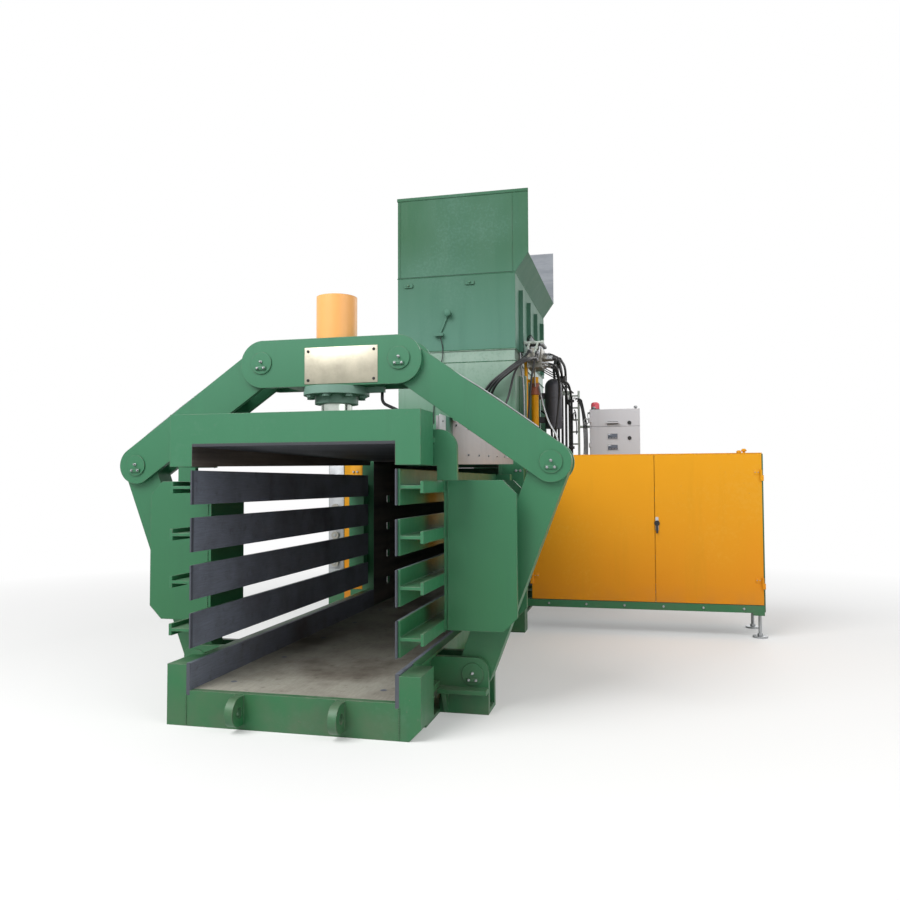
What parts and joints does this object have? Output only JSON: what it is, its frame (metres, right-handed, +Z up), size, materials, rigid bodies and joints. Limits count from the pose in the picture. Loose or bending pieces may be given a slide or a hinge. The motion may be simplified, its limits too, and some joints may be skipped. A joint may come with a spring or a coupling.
{
  "type": "recycling baler",
  "caption": "Horizontal auto-tie recycling baler with a squeeze linkage over its bale chamber, feed hopper, wire tier cabinet and electrical cabinet.",
  "frame": {"origin": "middle of the front sill's underside, on the ground", "axes": "+Y along the bale chamber from its open front to the main cylinder, +Z up, +X to the wire tier cabinet"},
  "size_m": [4.043, 9.1679, 4.036],
  "materials": {
    "green_paint": "semi-gloss machine enamel with rubbed edges",
    "hopper_green": "semi-gloss enamel, paler than the press body",
    "worn_plate": "bare plate polished and browned by bales",
    "dark_liner": "dark rolled plate",
    "cylinder_steel": "grey-green paint",
    "orange_cover": "light orange paint",
    "chromed_rod": "polished",
    "yellow_paint": "semi-gloss enamel",
    "zinc_steel": "zinc plated",
    "black_paint": "satin black",
    "black_plastic": "moulded",
    "switch_grey": "moulded",
    "valve_steel": "machined block with plated fittings",
    "hose_rubber": "smooth black cover",
    "cabinet_grey": "light grey powder coat",
    "beacon_red": "translucent red dome",
    "tank_grey": "grey-green enamel"
  },
  "bodies": {
    "frame": {"front_sill": "green_paint", "base_frame": "green_paint", "chamber_floor": "worn_plate", "floor_curbs": "green_paint", "curb_liners": "worn_plate", "pivot_brackets": "green_paint", "hinge_portal": "green_paint", "frame_pins": "green_paint", "body_walls": "green_paint", "throat_plates": "green_paint", "hopper_ring": "green_paint", "hopper_box": "hopper_green", "hopper_crown": "hopper_green", "level_switch": "switch_grey", "rear_frame": "green_paint", "main_cylinder": "cylinder_steel", "cabinet_frame": "green_paint", "cabinet_shell": "yellow_paint", "carriage_rails": "zinc_steel", "twister_frame": "green_paint", "twister_cover": "yellow_paint", "valve_block": "valve_steel", "accumulator": "black_paint", "supply_pipes": "yellow_paint", "hydraulic_hoses": "hose_rubber", "cable_ladder": "zinc_steel", "control_cabinet": "cabinet_grey", "beacon": "beacon_red", "power_pack": "tank_grey"},
    "platen": {"top_platen": "green_paint", "platen_side_covers": "cabinet_grey", "platen_wear_plate": "dark_liner", "squeeze_rod": "chromed_rod", "squeeze_hose": "hose_rubber"},
    "crosshead": {"crosshead": "green_paint", "crosshead_pins": "green_paint", "squeeze_cylinder": "cylinder_steel", "cylinder_cover": "orange_cover"},
    "right_arm": {"right_arm": "green_paint"},
    "left_arm": {"left_arm": "green_paint"},
    "right_lever": {"right_lever": "green_paint", "right_knee_pin": "green_paint"},
    "left_lever": {"left_lever": "green_paint", "left_knee_pin": "green_paint"},
    "right_door": {"right_side_door": "green_paint", "right_door_liners": "dark_liner"},
    "left_door": {"left_side_door": "green_paint", "left_door_liners": "dark_liner"},
    "ram": {"main_ram": "green_paint", "main_rod": "chromed_rod"},
    "carriage": {"needle_carriage": "zinc_steel"},
    "tier_left_door": {"cabinet_left_door": "yellow_paint"},
    "tier_right_door": {"cabinet_right_door": "yellow_paint"},
    "tier_latch": {"cabinet_latch": "black_plastic"},
    "front_foot": {"front_levelling_foot": "zinc_steel"},
    "rear_foot": {"rear_levelling_foot": "zinc_steel"},
    "upper_control_door": {"upper_control_door": "cabinet_grey"},
    "lower_control_door": {"lower_control_door": "cabinet_grey"},
    "upper_lock": {"upper_lock": "black_plastic"},
    "lower_lock": {"lower_lock": "black_plastic"}
  },
  "joints": [
    {"name": "crosshead_lift", "type": "slide", "parent": "platen", "child": "crosshead", "axis": [0, 0, 1], "range_m": [0, 0.1], "deforming": ["squeeze_hose"]},
    {"name": "platen_tilt", "type": "hinge", "parent": "frame", "child": "platen", "pos_m": [0, 2.74, 1.5], "axis": [1, 0, 0], "range_deg": [0, 0.24]},
    {"name": "right_lever_turn", "type": "hinge", "parent": "frame", "child": "right_lever", "pos_m": [0.822, 0.51, 0.212], "axis": [0, -1, 0], "range_deg": [0, 2.75]},
    {"name": "left_lever_turn", "type": "hinge", "parent": "frame", "child": "left_lever", "pos_m": [-0.822, 0.51, 0.212], "axis": [0, 1, 0], "range_deg": [0, 2.75]},
    {"name": "right_arm_turn", "type": "hinge", "parent": "crosshead", "child": "right_arm", "pos_m": [0.415, 0.51, 1.935], "axis": [0, 1, 0], "range_deg": [0, 5.1]},
    {"name": "left_arm_turn", "type": "hinge", "parent": "crosshead", "child": "left_arm", "pos_m": [-0.415, 0.51, 1.935], "axis": [0, -1, 0], "range_deg": [0, 5.1]},
    {"name": "right_door_turn", "type": "hinge", "parent": "frame", "child": "right_door", "pos_m": [0.66, 2.74, 0.75], "axis": [0, 0, -1], "range_deg": [0, 0.83]},
    {"name": "left_door_turn", "type": "hinge", "parent": "frame", "child": "left_door", "pos_m": [-0.66, 2.74, 0.75], "axis": [0, 0, 1], "range_deg": [0, 0.83]},
    {"name": "ram_stroke", "type": "slide", "parent": "frame", "child": "ram", "axis": [0, -1, 0], "range_m": [0, 2.57]},
    {"name": "needle_stroke", "type": "slide", "parent": "frame", "child": "carriage", "axis": [-1, 0, 0], "range_m": [0, 1.18]},
    {"name": "tier_left_door_turn", "type": "hinge", "parent": "frame", "child": "tier_left_door", "pos_m": [0.815, 2.921, 0.9], "axis": [0, 0, -1], "range_deg": [0, 95]},
    {"name": "tier_right_door_turn", "type": "hinge", "parent": "frame", "child": "tier_right_door", "pos_m": [2.646, 2.921, 0.9], "axis": [0, 0, 1], "range_deg": [0, 110]},
    {"name": "tier_latch_turn", "type": "hinge", "parent": "tier_right_door", "child": "tier_latch", "pos_m": [1.838, 2.93, 0.905], "axis": [0, 1, 0], "range_deg": [0, 90]},
    {"name": "front_foot_height", "type": "slide", "parent": "frame", "child": "front_foot", "axis": [0, 0, -1], "range_m": [0, 0.04]},
    {"name": "rear_foot_height", "type": "slide", "parent": "frame", "child": "rear_foot", "axis": [0, 0, -1], "range_m": [0, 0.04]},
    {"name": "upper_control_door_turn", "type": "hinge", "parent": "frame", "child": "upper_control_door", "pos_m": [1.199, 4.796, 1.928], "axis": [0, 0, -1], "range_deg": [0, 100]},
    {"name": "lower_control_door_turn", "type": "hinge", "parent": "frame", "child": "lower_control_door", "pos_m": [1.199, 4.796, 0.945], "axis": [0, 0, -1], "range_deg": [0, 100]},
    {"name": "upper_lock_turn", "type": "hinge", "parent": "upper_control_door", "child": "upper_lock", "pos_m": [1.604, 4.83, 1.872], "axis": [0, 1, 0], "range_deg": [0, 90]},
    {"name": "lower_lock_turn", "type": "hinge", "parent": "lower_control_door", "child": "lower_lock", "pos_m": [1.604, 4.83, 1.71], "axis": [0, 1, 0], "range_deg": [0, 90]}
  ],
  "couplings": [
    {"joint": "platen_tilt", "follows": "crosshead_lift", "rad_per_m": 0.041},
    {"joint": "right_lever_turn", "follows": "crosshead_lift", "rad_per_m": 0.4729},
    {"joint": "left_lever_turn", "follows": "crosshead_lift", "rad_per_m": 0.4729},
    {"joint": "right_arm_turn", "follows": "crosshead_lift", "rad_per_m": 0.8816},
    {"joint": "left_arm_turn", "follows": "crosshead_lift", "rad_per_m": 0.8816},
    {"joint": "right_door_turn", "follows": "crosshead_lift", "rad_per_m": 0.1428},
    {"joint": "left_door_turn", "follows": "crosshead_lift", "rad_per_m": 0.1428}
  ]
}
